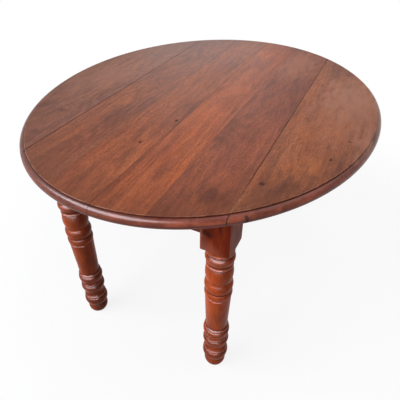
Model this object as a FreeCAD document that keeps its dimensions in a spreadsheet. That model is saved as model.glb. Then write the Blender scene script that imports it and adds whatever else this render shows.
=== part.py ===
import FreeCAD, Part
import math
import os
import Sketcher

# Oval drop-leaf dining table: fixed centre, two hinged leaves, four turned legs, pull-out lopers

Vector = FreeCAD.Vector
doc = FreeCAD.newDocument("drop_leaf_table")

# Driving sizes in millimetres
SIZES = {
    # oval top
    "table_height": 745,
    "top_length": 1322,
    "top_width": 1094,
    "top_thickness": 29,
    "centre_width": 582,
    "joint_gap": 0.5,
    # thumbnail moulding round the edge
    "moulding_width": 15,
    "quirk_depth": 3.5,
    "nose_drop": 17,
    "under_inset": 8,
    # turned legs
    "leg_block": 83,
    "block_height": 142,
    "block_easing": 3,
    "leg_spacing": 949,
    # rails and their pegged tenons
    "rail_height": 98,
    "rail_thickness": 24,
    "rail_setback": 12,
    "rail_easing": 1.5,
    "tenon_thickness": 10,
    "tenon_length": 45,
    "tenon_lower_shoulder": 10,
    "tenon_upper_shoulder": 18,
    "glue_room": 1,
    "peg_diameter": 8,
    "peg_length": 58,
    "peg_proud": 0.6,
    "peg_edge": 15,
    "peg_inset": 12,
    "peg_fit": 0.05,
    # middle rail that guides the lopers
    "guide_thickness": 24,
    "guide_height": 72,
    "guide_housing": 8,
    # lopers, two to a leaf
    "loper_width": 24,
    "loper_height": 38,
    "loper_travel": 190,
    "loper_clearance": 0.3,
    "loper_pair_offset": 175,
    "loper_pair_spacing": 36,
    "loper_easing": 1.5,
    "loper_end_room": 0.5,
    "loper_proud": 8,
    "stop_diameter": 10,
    "stop_drop": 15,
    "stop_seat": 26,
    # glue blocks rubbed in between rails and top
    "glue_block_length": 70,
    "glue_block_leg": 24,
    "glue_block_toe": 6,
    "glue_block_offset_end": 118,
    "glue_block_offset_side": 290,
    # back-flap hinges
    "hinge_spacing": 330,
    "hinge_length": 64,
    "flap_reach": 38,
    "flap_thickness": 2.5,
    "knuckle_radius": 5,
    "knuckle_gap": 0.4,
    "pin_radius": 2.5,
    "pin_clearance": 0.05,
    "recess_clearance": 0.3,
    # countersunk hinge screws
    "screw_head_radius": 4,
    "screw_shank_radius": 2,
    "screw_tip_radius": 1.1,
    "screw_length": 18,
    "screw_clearance": 0.1,
    "screw_edge": 10,
    # how far a cutting solid runs past what it cuts
    "overrun": 10,
}
sheet = doc.addObject("Spreadsheet::Sheet", "sizes")
for row, (alias, value) in enumerate(SIZES.items(), start=1):
    sheet.set(f"A{row}", alias)
    sheet.set(f"B{row}", str(value))
    sheet.setAlias(f"B{row}", alias)
doc.recompute()

# Places that several pieces share, written as formulas on the sheet
HALF_BLOCK = "sizes.leg_block / 2"
UNDERSIDE = "(sizes.table_height - sizes.top_thickness)"
TURNED = f"({UNDERSIDE} - sizes.block_height)"
JOINT_X = "(sizes.centre_width / 2)"
LEG_X = f"({JOINT_X} - {HALF_BLOCK})"
LEG_Y = "(sizes.leg_spacing / 2)"
RAIL_BOTTOM = f"({UNDERSIDE} - sizes.rail_height)"
RAIL_FACE_X = f"({JOINT_X} - sizes.rail_setback)"
RAIL_FACE_Y = f"({LEG_Y} + {HALF_BLOCK} - sizes.rail_setback)"
TENON_SET = "(sizes.rail_setback + sizes.rail_thickness / 2)"
TENON_HEIGHT = "(sizes.rail_height - sizes.tenon_lower_shoulder - sizes.tenon_upper_shoulder)"
TENON_BOTTOM = f"({RAIL_BOTTOM} + sizes.tenon_lower_shoulder)"
PEG_HEIGHTS = (
    f"({TENON_BOTTOM} + sizes.peg_inset)",
    f"({TENON_BOTTOM} + {TENON_HEIGHT} - sizes.peg_inset)",
)
PEG_HOLE = "(sizes.peg_diameter / 2 + sizes.peg_fit)"
HINGE_Z = f"({UNDERSIDE} + sizes.flap_thickness - sizes.knuckle_radius)"
HINGE_YS = {"front": "-sizes.hinge_spacing", "middle": "0", "back": "sizes.hinge_spacing"}

TURN_X = FreeCAD.Rotation(Vector(0, 1, 0), 90)
TURN_Y = FreeCAD.Rotation(Vector(1, 0, 0), -90)
UPRIGHT = FreeCAD.Rotation()
ON_YZ = FreeCAD.Rotation(Vector(1, 1, 1), 120)

# How a sketch names its own origin point and its upright axis
SKETCH_ORIGIN = (-1, 1)
SKETCH_UPRIGHT = -2

# Every finished piece, in the order it is made
pieces = []


def size(name):
    return float(sheet.get(name))


def bind(thing, formulas):
    for path, formula in formulas.items():
        thing.setExpression(path, formula)


def place(thing, spot, turn=UPRIGHT):
    thing.Placement = FreeCAD.Placement(Vector(), turn)
    bind(thing, {f"Placement.Base.{axis}": formula for axis, formula in zip("xyz", spot)})


def about_z(degrees):
    return FreeCAD.Rotation(Vector(0, 0, 1), degrees)


def new_body(label, spot=("0", "0", "0"), turn=UPRIGHT):
    body = doc.addObject("PartDesign::Body", label)
    body.Label = label
    place(body, spot, turn)
    return body


def like(pattern, label, spot, degrees=0):
    body = doc.addObject("PartDesign::Body", label)
    body.Label = label
    copy = doc.addObject("PartDesign::FeatureBase", f"{label}_copy")
    body.Group = [copy]
    copy.BaseFeature = pattern
    body.Tip = copy
    place(body, spot, about_z(degrees))
    return body


def box(body, kind, name, sides, corner):
    block = body.newObject(f"PartDesign::{kind}Box", name)
    bind(block, dict(zip(("Length", "Width", "Height"), sides)))
    place(block, corner)
    return block


def rod(body, kind, name, radius, length, start, turn=UPRIGHT):
    cylinder = body.newObject(f"PartDesign::{kind}Cylinder", name)
    bind(cylinder, {"Radius": radius, "Height": length})
    place(cylinder, start, turn)
    return cylinder


def cone(body, kind, name, radius_low, radius_high, length, start):
    taper = body.newObject(f"PartDesign::{kind}Cone", name)
    bind(taper, {"Radius1": radius_low, "Radius2": radius_high, "Height": length})
    place(taper, start)
    return taper


def ease_edges(body, name, radius, chosen):
    doc.recompute()
    base = body.Tip
    edges = [f"Edge{k}" for k, edge in enumerate(base.Shape.Edges, start=1) if chosen(edge)]
    fillet = body.newObject("PartDesign::Fillet", name)
    fillet.Base = (base, edges)
    bind(fillet, {"Radius": radius})
    return fillet


def straight_along(edge, direction):
    if not isinstance(edge.Curve, Part.Line):
        return False
    return edge.Curve.Direction.cross(direction).Length < Part.Precision.angular()


# Turned legs
# Each row is a corner of the turning: height as a share of the turned length, radius as a share
# of half the block, and how far the stretch to the next corner swells (or hollows) in the same share.
turning_shares = [
    (0.000, 0.530, 0.200),
    (0.080, 0.747, 0.000),
    (0.091, 0.747, 0.000),
    (0.096, 0.855, 0.112),
    (0.158, 0.916, 0.000),
    (0.161, 0.880, 0.045),
    (0.178, 0.867, -0.108),
    (0.233, 0.855, 0.000),
    (0.236, 0.892, 0.095),
    (0.279, 0.904, 0.000),
    (0.282, 0.870, 0.050),
    (0.298, 0.886, -0.015),
    (0.321, 0.886, 0.000),
    (0.324, 0.916, 0.082),
    (0.368, 0.916, 0.000),
    (0.371, 0.870, 0.050),
    (0.387, 0.867, 0.000),
    (0.390, 0.819, 0.000),
    (0.648, 0.930, 0.000),
    (0.651, 0.906, 0.082),
    (0.700, 0.906, 0.000),
    (0.706, 0.901, 0.104),
    (0.768, 0.887, 0.000),
    (0.777, 0.867, 0.096),
    (0.869, 0.867, 0.000),
    (0.873, 0.839, 0.060),
    (0.888, 0.872, -0.024),
    (0.908, 0.880, 0.000),
    (0.910, 0.916, 0.083),
    (0.949, 0.904, 0.000),
    (0.953, 0.855, 0.055),
    (0.974, 0.892, -0.020),
    (1.000, 0.916, 0.000),
]


def bowed(low, high, swell):
    chord = high - low
    outward = Vector(chord.y, -chord.x, 0).normalize()
    bow = abs(swell)
    radius = chord.Length ** 2 / (8 * bow) + bow / 2
    centre = (low + high) / 2 + outward * (swell - math.copysign(radius, swell))
    angles = [math.atan2(end.y - centre.y, end.x - centre.x) for end in (low, high)]
    if swell < 0:
        angles.reverse()
    return Part.ArcOfCircle(Part.Circle(centre, Vector(0, 0, 1), radius), *angles)


def turned_profile(body):
    plane = next(f for f in body.Origin.OriginFeatures if f.Role == "XZ_Plane")
    sketch = body.newObject("Sketcher::SketchObject", "turning")
    sketch.AttachmentSupport = (plane, "")
    sketch.MapMode = "FlatFace"
    length = size("table_height") - size("top_thickness") - size("block_height")
    half = size("leg_block") / 2
    corners = [Vector(r * half, h * length, 0) for h, r, _ in turning_shares]
    head = Vector(0, length, 0)
    curves = [Part.LineSegment(Vector(), corners[0])]
    ends = [(1, 2)]
    for low, high, (_, _, swell) in zip(corners, corners[1:], turning_shares):
        curves.append(bowed(low, high, swell * half) if swell else Part.LineSegment(low, high))
        ends.append((2, 1) if swell < 0 else (1, 2))
    curves += [Part.LineSegment(corners[-1], head), Part.LineSegment(head, Vector())]
    ends += [(1, 2), (1, 2)]
    sketch.addGeometry(curves)
    foot, top, axis = 0, len(curves) - 2, len(curves) - 1
    rules = [
        Sketcher.Constraint("Coincident", foot, 1, *SKETCH_ORIGIN),
        Sketcher.Constraint("Horizontal", foot),
        Sketcher.Constraint("Horizontal", top),
        Sketcher.Constraint("Vertical", axis),
    ]
    for k, (_, finish) in enumerate(ends):
        after = (k + 1) % len(curves)
        rules.append(Sketcher.Constraint("Coincident", k, finish, after, ends[after][0]))
    formulas = {}
    for k, (h, r, swell) in enumerate(turning_shares, start=1):
        formulas[len(rules)] = f"{HALF_BLOCK} * {r}"
        rules.append(Sketcher.Constraint("DistanceX", *SKETCH_ORIGIN, k, ends[k][0], r * half))
        if h:
            formulas[len(rules)] = f"{TURNED} * {h}"
            rules.append(Sketcher.Constraint("DistanceY", *SKETCH_ORIGIN, k, ends[k][0], h * length))
        if swell:
            h_next, r_next, _ = turning_shares[k]
            bow = f"({HALF_BLOCK} * {abs(swell)})"
            chord = f"(({HALF_BLOCK} * {r_next - r:.3f}) ^ 2 + ({TURNED} * {h_next - h:.3f}) ^ 2)"
            formulas[len(rules)] = f"{chord} / (8 * {bow}) + {bow} / 2"
            rules.append(Sketcher.Constraint("Radius", k, curves[k].Radius))
    sketch.addConstraint(rules)
    bind(sketch, {f"Constraints[{k}]": formula for k, formula in formulas.items()})
    return sketch


def turned_leg():
    body = new_body("leg_pattern")
    sketch = turned_profile(body)
    turning = body.newObject("PartDesign::Revolution", "turned_shaft")
    turning.Profile = sketch
    turning.ReferenceAxis = (sketch, ["V_Axis"])
    turning.Angle = 360
    square = f"-{HALF_BLOCK}"
    box(body, "Additive", "block", ("sizes.leg_block", "sizes.leg_block", "sizes.block_height"),
        (square, square, TURNED))
    low = size("table_height") - size("top_thickness") - size("block_height")
    corner = size("leg_block") / 2

    def arris(edge):
        middle = edge.BoundBox.Center
        outside = max(abs(middle.x), abs(middle.y)) > corner - size("block_easing")
        above = middle.z > low - size("block_easing")
        upright = straight_along(edge, Vector(0, 0, 1))
        lower = abs(middle.z - low) < size("block_easing") and isinstance(edge.Curve, Part.Line)
        return outside and above and (upright or lower)

    ease_edges(body, "eased_arrises", "sizes.block_easing", arris)
    inner = f"({HALF_BLOCK} - sizes.tenon_length - sizes.glue_room)"
    tenon_side = f"({HALF_BLOCK} - {TENON_SET} - sizes.tenon_thickness / 2)"
    tenon_far = f"({TENON_SET} - {HALF_BLOCK} - sizes.tenon_thickness / 2)"
    depth = "(sizes.tenon_length + sizes.glue_room)"
    box(body, "Subtractive", "end_mortise", (depth, "sizes.tenon_thickness", TENON_HEIGHT),
        (square, tenon_far, TENON_BOTTOM))
    box(body, "Subtractive", "side_mortise", ("sizes.tenon_thickness", depth, TENON_HEIGHT),
        (tenon_side, inner, TENON_BOTTOM))
    hole = "(sizes.peg_length + sizes.overrun)"
    past = f"({HALF_BLOCK} + sizes.overrun)"
    edge = f"({HALF_BLOCK} - sizes.peg_edge)"
    for level in PEG_HEIGHTS:
        rod(body, "Subtractive", "end_peg_hole", PEG_HOLE, hole,
            (f"-{edge}", f"-{past}", level), TURN_Y)
        rod(body, "Subtractive", "side_peg_hole", PEG_HOLE, hole,
            (f"{past} - {hole}", edge, level), TURN_X)
    return body


LEGS = {
    "front_right_leg": (LEG_X, f"-{LEG_Y}", 0),
    "back_right_leg": (LEG_X, LEG_Y, 90),
    "back_left_leg": (f"-{LEG_X}", LEG_Y, 180),
    "front_left_leg": (f"-{LEG_X}", f"-{LEG_Y}", 270),
}
leg_pattern = turned_leg()
for name, (leg_x, leg_y, degrees) in LEGS.items():
    pieces.append(like(leg_pattern, name, (leg_x, leg_y, "0"), degrees))


# Rails, each with a tenon at both ends; the outer face lies on local y = 0
def tenoned_rail(label, spot, degrees, clear_half):
    body = new_body(label, spot, about_z(degrees))
    box(body, "Additive", "rail", (f"2 * {clear_half}", "sizes.rail_thickness", "sizes.rail_height"),
        (f"-{clear_half}", "0", "0"))
    ease_edges(body, "eased_lower_edges", "sizes.rail_easing", lambda edge: (
        straight_along(edge, Vector(1, 0, 0)) and edge.BoundBox.Center.z < size("rail_easing")))
    middle = "(sizes.rail_thickness / 2 - sizes.tenon_thickness / 2)"
    tenon = ("sizes.tenon_length", "sizes.tenon_thickness", TENON_HEIGHT)
    box(body, "Additive", "tenon_one", tenon, (clear_half, middle, "sizes.tenon_lower_shoulder"))
    box(body, "Additive", "tenon_two", tenon,
        (f"-{clear_half} - sizes.tenon_length", middle, "sizes.tenon_lower_shoulder"))
    for sign in ("", "-"):
        for level in PEG_HEIGHTS:
            rod(body, "Subtractive", "peg_hole", PEG_HOLE, "sizes.rail_thickness",
                (f"{sign}({clear_half} + sizes.peg_edge)", "0", f"{level} - {RAIL_BOTTOM}"), TURN_Y)
    pieces.append(body)
    return body


LOPER_NEAR = "(sizes.loper_pair_offset - sizes.loper_pair_spacing / 2)"
LOPER_FAR = "(sizes.loper_pair_offset + sizes.loper_pair_spacing / 2)"
SLOT_WIDTH = "(sizes.loper_width + 2 * sizes.loper_clearance)"
SLOT_DEPTH = "(sizes.loper_height + 2 * sizes.loper_clearance)"
END_CLEAR = f"({LEG_X} - {HALF_BLOCK})"
SIDE_CLEAR = f"({LEG_Y} - {HALF_BLOCK})"
for name, side, degrees in (("front_end_rail", "-", 0), ("back_end_rail", "", 180)):
    rail = tenoned_rail(name, ("0", f"{side}{RAIL_FACE_Y}", RAIL_BOTTOM), degrees, END_CLEAR)
    box(rail, "Subtractive", "guide_housing",
        ("sizes.guide_thickness", "sizes.guide_housing", "sizes.guide_height"),
        ("-sizes.guide_thickness / 2", "sizes.rail_thickness - sizes.guide_housing",
         "sizes.rail_height - sizes.guide_height"))
for name, side, degrees in (("right_side_rail", "", 90), ("left_side_rail", "-", 270)):
    rail = tenoned_rail(name, (f"{side}{RAIL_FACE_X}", "0", RAIL_BOTTOM), degrees, SIDE_CLEAR)
    for slot_y in (f"-{LOPER_FAR}", LOPER_NEAR):
        box(rail, "Subtractive", "loper_slot", (SLOT_WIDTH, "sizes.rail_thickness", SLOT_DEPTH),
            (f"{slot_y} - {SLOT_WIDTH} / 2", "0", f"sizes.rail_height - {SLOT_DEPTH}"))

# Pegs that lock the tenons, two to a joint, their ends a little proud of the blocks
pegs = new_body("tenon_pegs")
pieces.append(pegs)
OUT_X = f"({JOINT_X} + sizes.peg_proud)"
OUT_Y = f"({LEG_Y} + {HALF_BLOCK} + sizes.peg_proud)"
PEG_X = f"({END_CLEAR} + sizes.peg_edge)"
PEG_Y = f"({SIDE_CLEAR} + sizes.peg_edge)"
for side_x in ("", "-"):
    for side_y in ("", "-"):
        for level in PEG_HEIGHTS:
            start_y = f"-{OUT_Y}" if side_y else f"{OUT_Y} - sizes.peg_length"
            start_x = f"-{OUT_X}" if side_x else f"{OUT_X} - sizes.peg_length"
            rod(pegs, "Additive", "end_peg", "sizes.peg_diameter / 2", "sizes.peg_length",
                (f"{side_x}{PEG_X}", start_y, level), TURN_Y)
            rod(pegs, "Additive", "side_peg", "sizes.peg_diameter / 2", "sizes.peg_length",
                (start_x, f"{side_y}{PEG_Y}", level), TURN_X)

# Middle rail, housed in the end rails and notched for the lopers
guide = new_body("loper_guide_rail", ("0", "0", f"{UNDERSIDE} - sizes.guide_height"))
pieces.append(guide)
GUIDE_HALF = f"({RAIL_FACE_Y} - sizes.rail_thickness + sizes.guide_housing)"
box(guide, "Additive", "rail", ("sizes.guide_thickness", f"2 * {GUIDE_HALF}", "sizes.guide_height"),
    ("-sizes.guide_thickness / 2", f"-{GUIDE_HALF}", "0"))
for slot_y in (f"-{LOPER_FAR}", f"-{LOPER_NEAR}", LOPER_NEAR, LOPER_FAR):
    box(guide, "Subtractive", "loper_notch", ("sizes.guide_thickness", SLOT_WIDTH, SLOT_DEPTH),
        ("-sizes.guide_thickness / 2", f"{slot_y} - {SLOT_WIDTH} / 2",
         f"sizes.guide_height - {SLOT_DEPTH}"))


# Lopers: outer end a little proud of the side rail to be gripped, inner end stopped by the opposite rail
LOPER_END = f"({RAIL_FACE_X} + sizes.loper_proud)"
LOPER_LENGTH = f"({LOPER_END} + {RAIL_FACE_X} - sizes.rail_thickness - sizes.loper_end_room)"
LOPER_BOTTOM = f"({UNDERSIDE} - sizes.loper_clearance - sizes.loper_height)"
STOP_X = "(sizes.guide_thickness / 2 + sizes.stop_diameter / 2 + sizes.loper_travel)"


def loper():
    body = new_body("loper_pattern")
    box(body, "Additive", "bar", (LOPER_LENGTH, "sizes.loper_width", "sizes.loper_height"),
        (f"-{LOPER_LENGTH}", "-sizes.loper_width / 2", "0"))

    def outer_end(edge):
        at_end = abs(edge.BoundBox.Center.x) < size("loper_easing")
        return at_end and not straight_along(edge, Vector(1, 0, 0))

    ease_edges(body, "eased_end", "sizes.loper_easing", outer_end)
    rod(body, "Subtractive", "stop_hole", "sizes.stop_diameter / 2 + sizes.peg_fit", "sizes.stop_seat",
        (f"-{LOPER_END} - {STOP_X}", "0", "0"))
    return body


def loper_stop():
    body = new_body("loper_stop_pattern")
    rod(body, "Additive", "dowel", "sizes.stop_diameter / 2", "sizes.stop_drop + sizes.stop_seat",
        (f"-{LOPER_END} - {STOP_X}", "0", "-sizes.stop_drop"))
    return body


LOPERS = {
    "right_front": (LOPER_END, f"-{LOPER_FAR}", 0),
    "right_back": (LOPER_END, LOPER_NEAR, 0),
    "left_front": (f"-{LOPER_END}", f"-{LOPER_NEAR}", 180),
    "left_back": (f"-{LOPER_END}", LOPER_FAR, 180),
}
loper_pattern = loper()
stop_pattern = loper_stop()
for name, (loper_x, loper_y, degrees) in LOPERS.items():
    spot = (loper_x, loper_y, LOPER_BOTTOM)
    pieces.append(like(loper_pattern, f"{name}_loper", spot, degrees))
    pieces.append(like(stop_pattern, f"{name}_loper_stop", spot, degrees))

# Glue blocks, three-cornered lengths rubbed in under the top along the rails
blocks = new_body("glue_blocks")
pieces.append(blocks)
INNER_X = f"({RAIL_FACE_X} - sizes.rail_thickness)"
INNER_Y = f"({RAIL_FACE_Y} - sizes.rail_thickness)"
END_SPOTS = ("-sizes.glue_block_offset_end", "sizes.glue_block_offset_end")
SIDE_SPOTS = ("-sizes.glue_block_offset_side", "0", "sizes.glue_block_offset_side")
CORNERS = [(spot, f"-{INNER_Y}", 0) for spot in END_SPOTS]
CORNERS += [(spot, INNER_Y, 180) for spot in END_SPOTS]
CORNERS += [(INNER_X, spot, 90) for spot in SIDE_SPOTS]
CORNERS += [(f"-{INNER_X}", spot, 270) for spot in SIDE_SPOTS]
for seat_x, seat_y, degrees in CORNERS:
    wedge = blocks.newObject("PartDesign::AdditiveWedge", "glue_block")
    bind(wedge, {
        "Xmin": "-sizes.glue_block_length / 2", "Xmax": "sizes.glue_block_length / 2",
        "X2min": "-sizes.glue_block_length / 2", "X2max": "sizes.glue_block_length / 2",
        "Ymin": "0", "Ymax": "sizes.glue_block_leg",
        "Zmin": "-sizes.glue_block_leg", "Zmax": "0",
        "Z2min": "-sizes.glue_block_toe", "Z2max": "0",
    })
    place(wedge, (seat_x, seat_y, UNDERSIDE), about_z(degrees))

# Oval top: a slab with the thumbnail moulding run round its edge
edge_line = doc.addObject("Part::Ellipse", "oval_line")
bind(edge_line, {"MajorRadius": "sizes.top_length / 2", "MinorRadius": "sizes.top_width / 2"})
place(edge_line, ("0", "0", "sizes.table_height"), about_z(90))
blank_line = doc.addObject("Part::Ellipse", "blank_line")
bind(blank_line, {
    "MajorRadius": "sizes.top_length / 2 + sizes.overrun",
    "MinorRadius": "sizes.top_width / 2 + sizes.overrun",
})
place(blank_line, ("0", "0", UNDERSIDE), about_z(90))
slab = doc.addObject("Part::Extrusion", "oval_slab")
slab.Base = blank_line
slab.DirMode = "Custom"
slab.Dir = Vector(0, 0, 1)
slab.Solid = True
bind(slab, {"LengthFwd": "sizes.top_thickness"})

waste = doc.addObject("Sketcher::SketchObject", "moulding_waste")
place(waste, ("0", "sizes.top_length / 2", "sizes.table_height"), ON_YZ)
width = size("moulding_width")
quirk = size("quirk_depth")
nose = size("nose_drop")
under = size("under_inset")
thick = size("top_thickness")
clear = 2 * size("overrun")
UPPER_ROUND = (width ** 2 + (nose - quirk) ** 2) / (2 * width)
LOWER_ROUND = (under ** 2 + (thick - nose) ** 2) / (2 * under)


def nose_arc(radius, low_angle, high_angle):
    circle = Part.Circle(Vector(-radius, -nose, 0), Vector(0, 0, 1), radius)
    return Part.ArcOfCircle(circle, low_angle, high_angle)


outline = [
    Vector(-width, clear, 0),
    Vector(-width, -quirk, 0),
    Vector(0, -nose, 0),
    Vector(-under, -thick, 0),
    Vector(-under, -thick - clear, 0),
    Vector(clear, -thick - clear, 0),
    Vector(clear, clear, 0),
]
rounds = {
    1: nose_arc(UPPER_ROUND, 0, math.atan2(nose - quirk, UPPER_ROUND - width)),
    2: nose_arc(LOWER_ROUND, -math.atan2(thick - nose, LOWER_ROUND - under), 0),
}
sides = []
for k, low in enumerate(outline):
    high = outline[(k + 1) % len(outline)]
    index = waste.addGeometry(rounds.get(k) or Part.LineSegment(low, high))
    sides.append((index, 2, 1) if k in rounds else (index, 1, 2))
for (one, _, finish), (two, begin, _) in zip(sides, sides[1:] + sides[:1]):
    waste.addConstraint(Sketcher.Constraint("Coincident", one, finish, two, begin))
for k in (0, 3, 5):
    waste.addConstraint(Sketcher.Constraint("Vertical", sides[k][0]))
for k in (4, 6):
    waste.addConstraint(Sketcher.Constraint("Horizontal", sides[k][0]))
for k, end in ((1, sides[1][2]), (2, sides[2][1])):
    waste.addConstraint(Sketcher.Constraint("Horizontal", sides[k][0], 3, sides[k][0], end))
SPOTS = {
    1: ("-sizes.moulding_width", "-sizes.quirk_depth"),
    2: ("0", "-sizes.nose_drop"),
    3: ("-sizes.under_inset", "-sizes.top_thickness"),
    5: ("2 * sizes.overrun", "-sizes.top_thickness - 2 * sizes.overrun"),
}
for k, (across, up) in SPOTS.items():
    index, start, _ = sides[k]
    corner = outline[k]
    for direction, formula, value in (("DistanceX", across, corner.x), ("DistanceY", up, corner.y)):
        if value:
            held = waste.addConstraint(Sketcher.Constraint(direction, *SKETCH_ORIGIN, index, start, value))
            waste.setExpression(f"Constraints[{held}]", formula)
        else:
            waste.addConstraint(Sketcher.Constraint("PointOnObject", index, start, SKETCH_UPRIGHT))
index, start, _ = sides[6]
held = waste.addConstraint(Sketcher.Constraint("DistanceY", *SKETCH_ORIGIN, index, start, clear))
waste.setExpression(f"Constraints[{held}]", "2 * sizes.overrun")

moulding = doc.addObject("Part::Sweep", "moulding_cut")
moulding.Sections = [waste]
moulding.Spine = (edge_line, ["Edge1"])
moulding.Solid = True
moulding.Frenet = True
oval = doc.addObject("Part::Cut", "oval_top")
oval.Base = slab
oval.Tool = moulding

# Boards of the fixed centre and the two leaves, sawn from the oval along straight lines
board_line_shares = (-0.450, 0.014, 0.457)
FIXED_EDGE = f"({JOINT_X} - sizes.joint_gap / 2)"
LEAF_EDGE = f"({JOINT_X} + sizes.joint_gap / 2)"
OUTER_EDGE = "(sizes.top_width / 2 + sizes.overrun)"
GLUE_LINES = [f"({JOINT_X} * {share})" for share in board_line_shares]
BOARDS = {
    "left_leaf": (f"-{OUTER_EDGE}", f"-{LEAF_EDGE}"),
    "left_outer_board": (f"-{FIXED_EDGE}", GLUE_LINES[0]),
    "left_inner_board": (GLUE_LINES[0], GLUE_LINES[1]),
    "right_inner_board": (GLUE_LINES[1], GLUE_LINES[2]),
    "right_outer_board": (GLUE_LINES[2], FIXED_EDGE),
    "right_leaf": (LEAF_EDGE, OUTER_EDGE),
}
SCREW_SPOTS = (
    ("(sizes.knuckle_radius + sizes.screw_edge)", "-(sizes.hinge_length / 2 - sizes.screw_edge)"),
    ("(sizes.knuckle_radius + sizes.screw_edge)", "(sizes.hinge_length / 2 - sizes.screw_edge)"),
    ("(sizes.flap_reach - sizes.screw_edge)", "0"),
)
SCREW_HOLE = "(sizes.screw_shank_radius + sizes.screw_clearance)"


# Hollows for the three hinges of one joint, on both sides of the line
def hinge_seats():
    body = new_body("hinge_seat_pattern")
    reach = "(sizes.flap_reach + sizes.recess_clearance)"
    span = "(sizes.hinge_length + 2 * sizes.recess_clearance)"
    round_half = "(sizes.knuckle_radius + sizes.recess_clearance)"
    for hinge_y in HINGE_YS.values():
        corner_y = f"{hinge_y} - {span} / 2"
        box(body, "Additive", "flap_seat", (f"2 * {reach}", span, "sizes.flap_thickness"),
            (f"-{reach}", corner_y, "0"))
        box(body, "Additive", "knuckle_seat",
            (f"2 * {round_half}", span, "sizes.flap_thickness + sizes.recess_clearance"),
            (f"-{round_half}", corner_y, "0"))
        for across, along in SCREW_SPOTS:
            for side in ("", "-"):
                rod(body, "Additive", "screw_hole", SCREW_HOLE,
                    "sizes.screw_length + sizes.screw_clearance",
                    (f"{side}{across}", f"{hinge_y} + {along}", "0"))
    return body


seat_pattern = hinge_seats()
SEATS = {
    "left": like(seat_pattern, "left_hinge_seats", (f"-{JOINT_X}", "0", UNDERSIDE)),
    "right": like(seat_pattern, "right_hinge_seats", (JOINT_X, "0", UNDERSIDE)),
}
for name, (low_x, high_x) in BOARDS.items():
    strip = doc.addObject("Part::Box", f"{name}_strip")
    bind(strip, {"Length": f"{high_x} - {low_x}", "Width": "sizes.top_length + 2 * sizes.overrun",
                 "Height": "sizes.top_thickness + 2 * sizes.overrun"})
    place(strip, (low_x, "-sizes.top_length / 2 - sizes.overrun", f"{UNDERSIDE} - sizes.overrun"))
    board = doc.addObject("Part::Common", name)
    board.Base = oval
    board.Tool = strip
    if not name.endswith("inner_board"):
        sawn = board
        sawn.Label = f"{name}_sawn"
        board = doc.addObject("Part::Cut", f"{name}_seated")
        board.Base = sawn
        board.Tool = SEATS[name.split("_")[0]]
    board.Label = name
    pieces.append(board)

# Back-flap hinges under the joints; the pin lies along local y, the leaf's flap on the +x side
HALF_LENGTH = "sizes.hinge_length / 2"
THIRD = "(sizes.hinge_length / 3)"
FLAP_LOW = "(sizes.knuckle_radius - sizes.flap_thickness)"
KNUCKLE_CLEAR = "(sizes.knuckle_radius + sizes.knuckle_gap)"
PIN_HOLE = "(sizes.pin_radius + sizes.pin_clearance)"


def flap(label, knuckles, gaps, toward):
    body = new_body(label)
    box(body, "Additive", "plate", ("sizes.flap_reach", "sizes.hinge_length", "sizes.flap_thickness"),
        ("0" if toward > 0 else "-sizes.flap_reach", f"-{HALF_LENGTH}", FLAP_LOW))
    for low_y, high_y in knuckles:
        rod(body, "Additive", "knuckle", "sizes.knuckle_radius", f"{high_y} - ({low_y})",
            ("0", low_y, "0"), TURN_Y)
    for low_y, high_y in gaps:
        box(body, "Subtractive", "knuckle_gap",
            (f"2 * {KNUCKLE_CLEAR}", f"{high_y} - ({low_y})", "2 * sizes.knuckle_radius"),
            (f"-{KNUCKLE_CLEAR}", low_y, "-sizes.knuckle_radius"))
    rod(body, "Subtractive", "pin_hole", PIN_HOLE, "sizes.hinge_length",
        ("0", f"-{HALF_LENGTH}", "0"), TURN_Y)
    for across, along in SCREW_SPOTS:
        spot_x = across if toward > 0 else f"-{across}"
        cone(body, "Subtractive", "countersink",
             "sizes.screw_head_radius + sizes.screw_clearance", SCREW_HOLE,
             "sizes.flap_thickness", (spot_x, along, FLAP_LOW))
    return body


MIDDLE_LOW = f"-{THIRD} / 2"
MIDDLE_HIGH = f"{THIRD} / 2"
OUTER_THIRDS = [(f"-{HALF_LENGTH}", MIDDLE_LOW), (MIDDLE_HIGH, HALF_LENGTH)]
MIDDLE_THIRD = [(f"{MIDDLE_LOW} + sizes.knuckle_gap", f"{MIDDLE_HIGH} - sizes.knuckle_gap")]
WIDE_THIRDS = [(f"-{HALF_LENGTH}", f"{MIDDLE_LOW} + sizes.knuckle_gap"),
               (f"{MIDDLE_HIGH} - sizes.knuckle_gap", HALF_LENGTH)]
pin_pattern = new_body("hinge_pin_pattern")
rod(pin_pattern, "Additive", "pin", "sizes.pin_radius", "sizes.hinge_length",
    ("0", f"-{HALF_LENGTH}", "0"), TURN_Y)
HINGE_PATTERNS = {
    "fixed_flap": flap("fixed_flap_pattern", OUTER_THIRDS, [(MIDDLE_LOW, MIDDLE_HIGH)], -1),
    "leaf_flap": flap("leaf_flap_pattern", MIDDLE_THIRD, WIDE_THIRDS, 1),
    "pin": pin_pattern,
}
JOINTS = {"right": (JOINT_X, 0), "left": (f"-{JOINT_X}", 180)}
for side, (joint, degrees) in JOINTS.items():
    for where, hinge_y in HINGE_YS.items():
        for part_name, pattern in HINGE_PATTERNS.items():
            label = f"{side}_{where}_hinge_{part_name}"
            pieces.append(like(pattern, label, (joint, hinge_y, HINGE_Z), degrees))


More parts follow.
